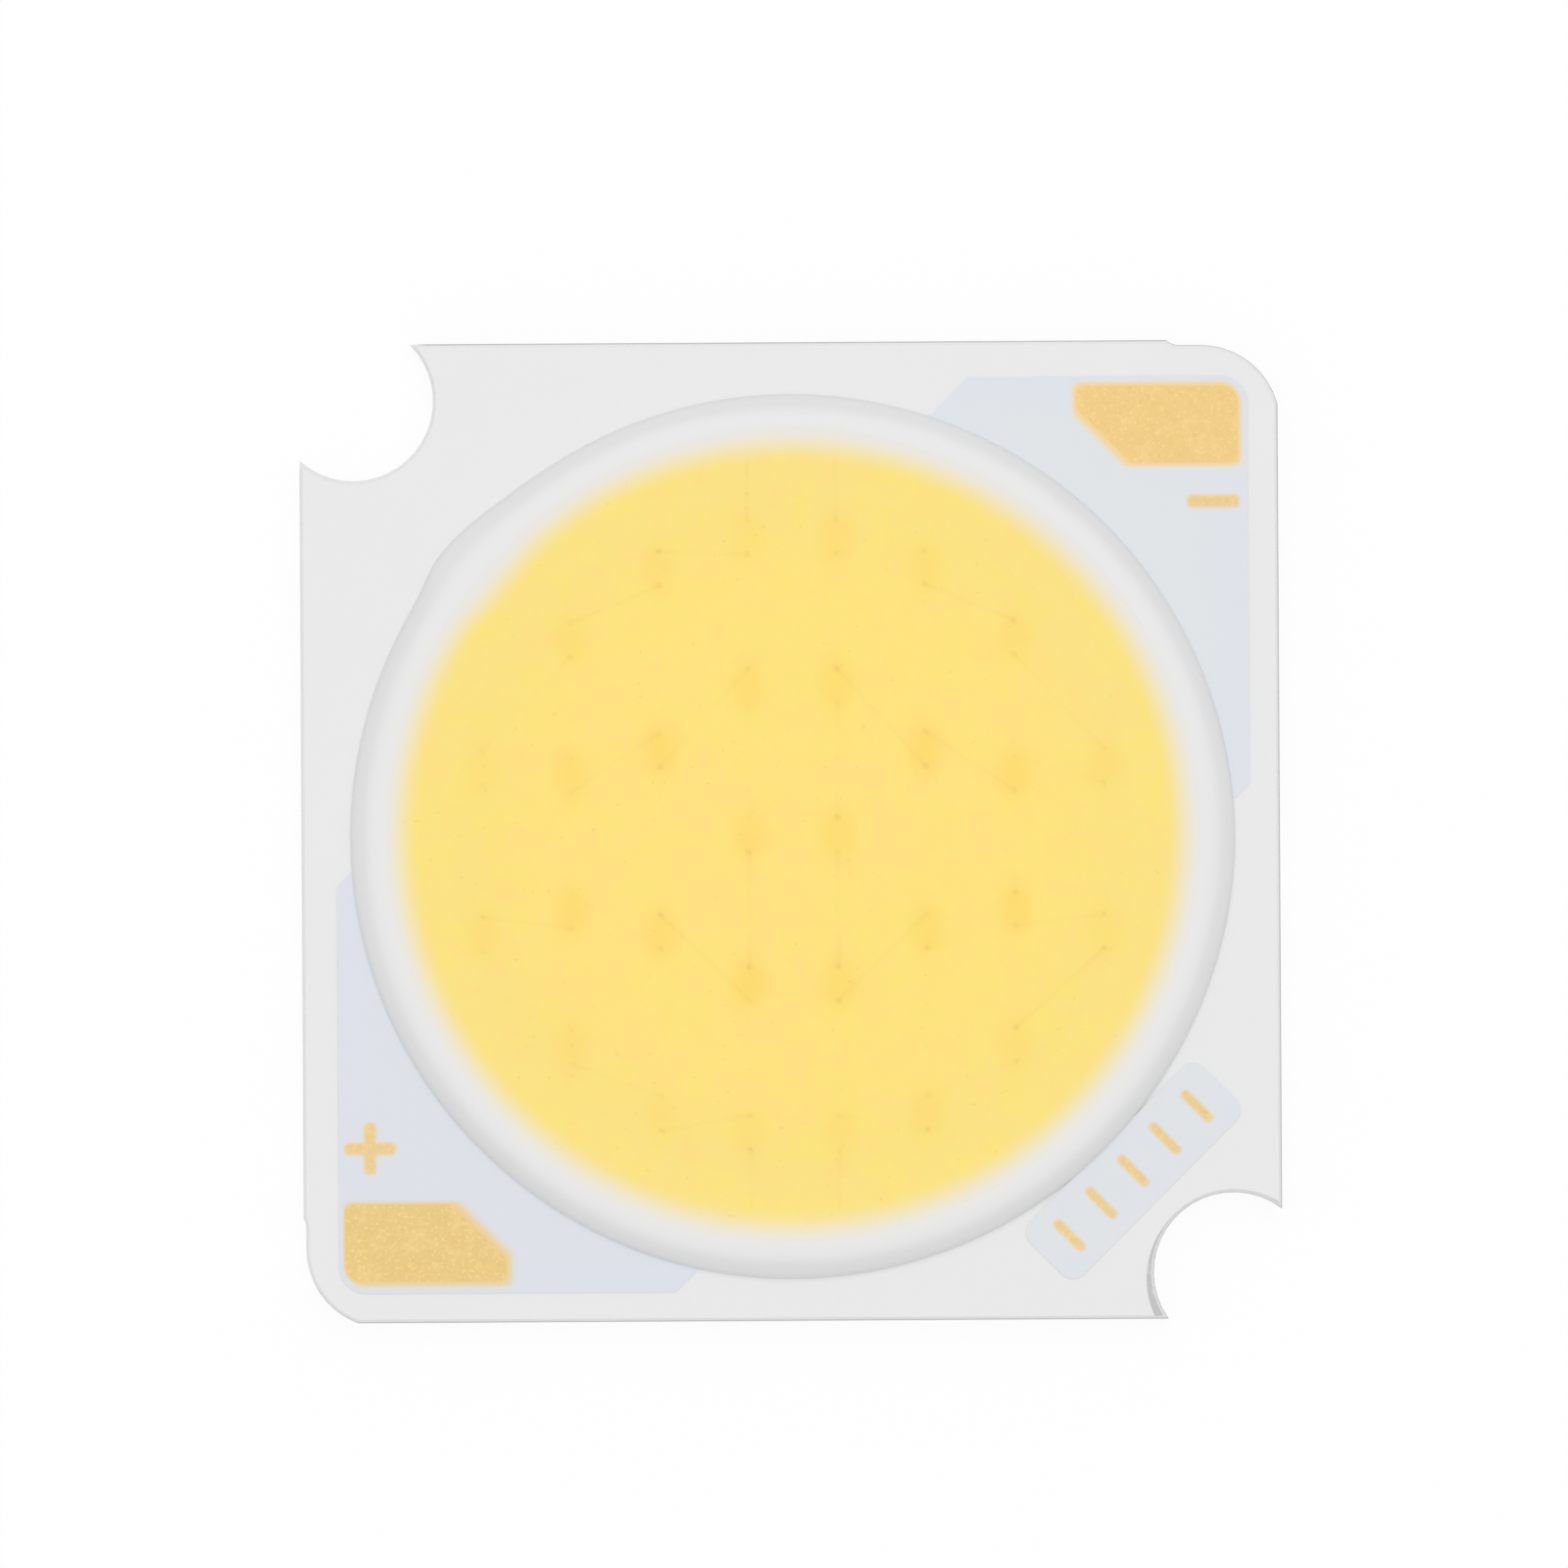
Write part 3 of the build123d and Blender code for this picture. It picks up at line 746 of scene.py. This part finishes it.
@dataclass
class Marks:
    """The plated signs beside the pads, and the row of plain ticks on the marking patch."""

    thickness: float = 0.004
    length: float = 1.08
    stroke: float = 0.31
    corner: float = 0.16
    minus_inset: float = 0.60
    minus_drop: float = 0.63
    plus_inset: float = 0.54
    plus_rise: float = 1.005
    tick_count: int = 5
    tick_pitch: float = 0.88
    tick_length: float = 0.85
    tick_stroke: float = 0.25
    insets: tuple[float, ...] = (0.0, 0.0, 0.035, 0.075)
    fades: tuple[float, ...] = (0.0, 0.0, 0.5, 1.0)

    def bar(self, length: float, stroke: float, inset: float) -> Grid:
        """Outline of one bar about its middle, drawn in by the inset."""
        across, along = length / 2 - inset, stroke / 2 - inset
        corners = np.array([[-across, -along], [across, -along], [across, along], [-across, along]])
        return rounded(corners, np.full(4, min(max(self.corner - inset, 0.03), 0.8 * along, 0.8 * across)))

    def cross(self, inset: float) -> Grid:
        """Outline of a plus sign about its middle: one arm's three corners, turned four times."""
        across, along = self.stroke / 2 - inset, self.length / 2 - inset
        arm = np.array([[across, across], [across, along], [-across, along]])
        turns = np.radians([0, 90, 180, 270])
        spin = np.stack([np.cos(turns), -np.sin(turns), np.sin(turns), np.cos(turns)], -1).reshape(4, 2, 2)
        end = min(max(self.corner - inset, 0.03), 0.8 * across)
        radii = np.tile([0.04 + inset / 2, end, end], 4)
        return rounded(np.einsum("kij,nj->kni", spin, arm).reshape(-1, 2), radii)

    def sheet(self, name: str, plates: list[list[Grid]], material: bpy.types.Material) -> bpy.types.Object:
        """Thin plates, each a stack of outlines: one under it, and three on top, drawn in.

        Args:
            name: The piece's name.
            plates: For each plate, its outlines in plan, which run counter-clockwise.
            material: The finish, which reads how far the plating has faded in.

        Returns:
            One object with all the plates.
        """
        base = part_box("solder_mask")[1].z / MM
        levels = np.array([base - 0.002, base + self.thickness / 2, base + self.thickness, base + self.thickness])
        points: list[Grid] = []
        walls: list[NDArray[np.int64]] = []
        ends: list[NDArray[np.int64]] = []
        first = 0
        for outlines in plates:
            rows, count = len(outlines), len(outlines[0])
            points.append(np.hstack([np.concatenate(outlines), np.repeat(levels, count)[:, None]]))
            walls.append(grid_faces(rows, count, False, True)[:, ::-1] + first)
            ends.append(np.stack([np.arange(count)[::-1], np.arange(count) + (rows - 1) * count]) + first)
            first += rows * count
        made = piece(name, np.concatenate(points), [np.concatenate(walls), np.concatenate(ends)], material)
        fades = [np.repeat(self.fades, len(outlines[0])) for outlines in plates]
        carry(made, "fade", np.concatenate(fades))
        log.info("added %s", name)
        return made

    def build(self, material: bpy.types.Material) -> list[bpy.types.Object]:
        """Places the signs from the pads, and the ticks along the patch's diagonal."""
        pad_low, pad_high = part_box("cathode_pad")
        minus_place = np.array([pad_high.x / MM - self.minus_inset, pad_low.y / MM - self.minus_drop])
        pad_low, pad_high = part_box("anode_pad")
        plus_place = np.array([pad_low.x / MM + self.plus_inset, pad_high.y / MM + self.plus_rise])
        patch = plan_middle("marking_copper")
        diagonal = math.sqrt(0.5)
        turn = np.array([[diagonal, -diagonal], [diagonal, diagonal]])
        tick = [self.bar(self.tick_stroke, self.tick_length, inset) for inset in self.insets]
        steps = (np.arange(self.tick_count) - (self.tick_count - 1) / 2) * self.tick_pitch
        ticks = [[(outline + [step, 0]) @ turn.T + patch for outline in tick] for step in steps]
        minus = [self.bar(self.length, self.stroke, inset) + minus_place for inset in self.insets]
        plus = [self.cross(inset) + plus_place for inset in self.insets]
        return [
            self.sheet("minus_sign", [minus], material),
            self.sheet("plus_sign", [plus], material),
            self.sheet("patch_ticks", ticks, material),
        ]


@dataclass
class PadLips:
    """The soft edge of the white ink where it runs out over the rim of a pad."""

    chamfer: float = 1.00
    extra_cut: float = 1.1
    outer_radius: float = 0.45
    small_radius: float = 0.12
    drawn_radius: float = 0.17
    insets: tuple[float, ...] = (-0.015, 0.03, 0.07, 0.12, 0.12, -0.015)
    lifts: tuple[float, ...] = (0.0206, 0.013, 0.006, 0.001, -0.002, -0.002)
    fades: tuple[float, ...] = (0.0, 0.25, 0.7, 1.0, 1.0, 0.0)

    def outline(self, reach: Grid, inset: float) -> Grid:
        """The pad's outline about its middle, with its cut corner at the lower left.

        Args:
            reach: Half of the pad's length and width.
            inset: How far the outline is drawn in.

        Returns:
            The points, counter-clockwise.
        """
        x, y = reach - inset
        cut = self.chamfer - (2 - math.sqrt(2)) * inset + self.extra_cut * max(inset, 0)
        corners = np.array([[x, -y], [x, y], [-x, y], [-x, cut - y], [cut - x, -y]])
        radii = np.array([self.small_radius, self.outer_radius, self.small_radius, 0.05, 0.05])
        return rounded(corners, np.maximum(radii - inset, self.drawn_radius if inset > 0 else 0.03))

    def build(
        self, node: str, name: str, turned: bool, nudge: tuple[float, float], material: bpy.types.Material
    ) -> bpy.types.Object:
        """A closed ring of outlines at the given insets and heights over the pad.

        Args:
            node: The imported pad.
            name: The lip's name.
            turned: Whether the pad's outline is turned by half a turn.
            nudge: How far the ring's opening is off the pad's middle.
            material: The finish, which reads how far the gold has faded in.

        Returns:
            The ring.
        """
        low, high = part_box(node)
        reach = np.array([high.x - low.x, high.y - low.y]) / 2 / MM
        sign = -1 if turned else 1
        moves = np.maximum(self.insets, 0)[:, None] / max(self.insets) * np.array(nudge) + plan_middle(node)
        rows = [sign * self.outline(reach, inset) + move for inset, move in zip(self.insets, moves)]
        heights = np.repeat(high.z / MM + np.array(self.lifts), len(rows[0]))[:, None]
        faces = grid_faces(len(rows), len(rows[0]), True, True)[:, ::-1]
        made = piece(name, np.hstack([np.concatenate(rows), heights]), [faces], material)
        carry(made, "fade", np.repeat(self.fades, len(rows[0])))
        log.info("added %s", name)
        return made


@dataclass
class Plate:
    """The laid-up plate and its circuit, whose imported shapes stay."""

    def build(self) -> None:
        """Dresses each layer and the plated pads."""
        dress(Aluminium().material(), "base_plate")
        film = PlainLayer("bonding_film", Tint(238, 238, 235), Tint(218, 217, 210), 0.05, 0.6)
        dress(film.material(), "bonding_film")
        board = PlainLayer("white_board", Tint(246, 246, 246), Tint(228, 228, 226), 0.06, 0.6)
        dress(board.material(), "circuit_board")
        copper = PlainLayer("copper_foil", Tint(214, 152, 118), Tint(190, 120, 90), 0.05, 0.4, 1.0)
        dress(copper.material(), "cathode_copper", "anode_copper", "marking_copper")
        dress(MaskInk().material(), "solder_mask")
        # Painted shade: the anode's gold, at lower X, is a little darker than the cathode's.
        cathode, anode = Tint(243, 209, 140), Tint(236, 205, 139)
        dress(GoldPlating("gold_cathode", cathode).material(), "cathode_pad")
        dress(GoldPlating("gold_anode", anode).material(), "anode_pad")
        lips = PadLips()
        # The lips' ink takes the mask's tint over each lead, with the same painted shade over the anode.
        cathode_ink = InkLip("lip_cathode", Tint(224, 228, 231), cathode)
        lips.build("cathode_pad", "cathode_lip", False, (0.0, 0.0), cathode_ink.material())
        anode_ink = InkLip("lip_anode", Tint(222, 225, 231), anode)
        lips.build("anode_pad", "anode_lip", True, (-0.07, 0.035), anode_ink.material())


@dataclass
class ChipArray:
    """Chips, their adhesive and their wires, all inside the gel."""

    def build(self) -> None:
        """Dresses the parts under the gel."""
        chips = sorted(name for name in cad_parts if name.startswith("led_chip_"))
        crystal = PlainLayer("chip_crystal", Tint(196, 210, 222), Tint(150, 170, 196), 0.12, 0.15)
        dress(crystal.material(), *chips)
        adhesive = PlainLayer("clear_silicone", Tint(238, 238, 232), Tint(222, 222, 214), 0.08, 0.3)
        dress(adhesive.material(), "die_attach_left", "die_attach_right")
        wire = PlainLayer("gold_wire", Tint(240, 204, 120), Tint(214, 170, 90), 0.04, 0.25, 1.0)
        dress(wire.material(), "bond_wires_left", "bond_wires_right")


@dataclass
class Studio:
    """A pale floor, soft light and a camera that looks straight down."""

    picture_width: float = 30.42
    camera_height: float = 400.0
    camera_x: float = -0.124
    camera_y: float = 0.924
    camera_turn: float = -0.33
    sensor: float = 36.0
    ambient: float = 0.64
    lamp_power: float = 0.89
    lamp_place: tuple[float, float, float] = (0.0, 76.0, 450.0)
    lamp_size: float = 420.0
    floor_half: float = 1000.0
    floor_drop: float = 0.02
    floor_white: float = 0.92

    def camera(self) -> None:
        """A long lens whose picture is as wide as asked at the plate's top."""
        data = bpy.data.cameras.new("camera")
        data.type = "PERSP"
        data.sensor_width = self.sensor
        data.lens = self.sensor * self.camera_height / self.picture_width
        data.clip_start = 0.01
        data.clip_end = 10.0
        made = bpy.data.objects.new("camera", data)
        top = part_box("solder_mask")[1].z
        made.location = (self.camera_x * MM, self.camera_y * MM, top + self.camera_height * MM)
        made.rotation_euler = (0, 0, math.radians(self.camera_turn))
        bpy.context.scene.collection.objects.link(made)
        bpy.context.scene.camera = made

    def seen(self, tree: bpy.types.NodeTree) -> Socket:
        """1 for rays from the camera, a gloss or a glass, and 0 for light on its way."""
        path = tree.nodes.new("ShaderNodeLightPath")
        total = path.outputs["Is Camera Ray"]
        for name in ("Is Glossy Ray", "Is Transmission Ray"):
            add = tree.nodes.new("ShaderNodeMath")
            add.operation = "ADD"
            add.use_clamp = True
            tree.links.new(total, add.inputs[0])
            tree.links.new(path.outputs[name], add.inputs[1])
            total = add.outputs[0]
        return total

    def surroundings(self) -> None:
        """An even white that is seen at full strength and lights at the ambient level."""
        world = bpy.data.worlds.new("surroundings")
        world.use_nodes = True
        tree = world.node_tree
        light = tree.nodes["Background"]
        light.inputs["Color"].default_value = (1, 1, 1, 1)
        light.inputs["Strength"].default_value = self.ambient
        white = tree.nodes.new("ShaderNodeBackground")
        white.inputs["Color"].default_value = (1, 1, 1, 1)
        mix = tree.nodes.new("ShaderNodeMixShader")
        tree.links.new(self.seen(tree), mix.inputs[0])
        tree.links.new(light.outputs[0], mix.inputs[1])
        tree.links.new(white.outputs[0], mix.inputs[2])
        tree.links.new(mix.outputs[0], tree.nodes["World Output"].inputs["Surface"])
        bpy.context.scene.world = world

    def floor(self) -> None:
        """A wide flat sheet, mostly white by itself so that it keeps only a soft shadow."""
        half = self.floor_half * MM
        mesh = bpy.data.meshes.new("floor")
        down = -self.floor_drop * MM
        corners = [(-half, -half, down), (half, -half, down), (half, half, down), (-half, half, down)]
        mesh.from_pydata(corners, [], [(0, 1, 2, 3)])
        material = bpy.data.materials.new("pale_floor")
        material.use_nodes = True
        tree = material.node_tree
        tree.nodes.clear()
        paper = tree.nodes.new("ShaderNodeBsdfDiffuse")
        paper.inputs["Color"].default_value = (0.95, 0.95, 0.95, 1)
        glow = tree.nodes.new("ShaderNodeEmission")
        share = tree.nodes.new("ShaderNodeMath")
        share.operation = "MULTIPLY"
        share.inputs[1].default_value = self.floor_white
        tree.links.new(self.seen(tree), share.inputs[0])
        mix = tree.nodes.new("ShaderNodeMixShader")
        tree.links.new(share.outputs[0], mix.inputs[0])
        tree.links.new(paper.outputs[0], mix.inputs[1])
        tree.links.new(glow.outputs[0], mix.inputs[2])
        output = tree.nodes.new("ShaderNodeOutputMaterial")
        tree.links.new(mix.outputs[0], output.inputs["Surface"])
        mesh.materials.append(material)
        made = bpy.data.objects.new("floor", mesh)
        bpy.context.scene.collection.objects.link(made)

    def lamp(self) -> None:
        """One large soft lamp overhead, a little towards the top of the picture.

        Gloss doesn't show it, so that metal keeps the colour it is given.
        """
        data = bpy.data.lights.new("soft_lamp", "AREA")
        data.shape = "DISK"
        data.size = self.lamp_size * MM
        data.energy = self.lamp_power
        made = bpy.data.objects.new("soft_lamp", data)
        place = np.array(self.lamp_place) * MM
        made.location = place.tolist()
        across = math.hypot(place[0], place[1])
        made.rotation_euler = (math.atan2(across, place[2]), 0, math.atan2(place[1], place[0]) + math.pi / 2)
        made.visible_glossy = False
        bpy.context.scene.collection.objects.link(made)

    def build(self) -> None:
        """Sets up the whole studio."""
        self.camera()
        self.surroundings()
        self.floor()
        self.lamp()
        bpy.context.scene.view_settings.view_transform = "Standard"


def main() -> None:
    """Builds the studio and each sub-assembly."""
    logging.basicConfig(level=logging.INFO, format="%(name)s: %(message)s")
    Studio().build()
    Plate().build()
    ChipArray().build()
    bead = Bead()
    Dam(bead).build()
    Gel(bead).build()
    marking = GoldPlating("gold_marks", Tint(238, 209, 154), Tint(226, 227, 230), grain=0.06)
    Marks().build(marking.material())


if __name__ == "__main__":
    main()
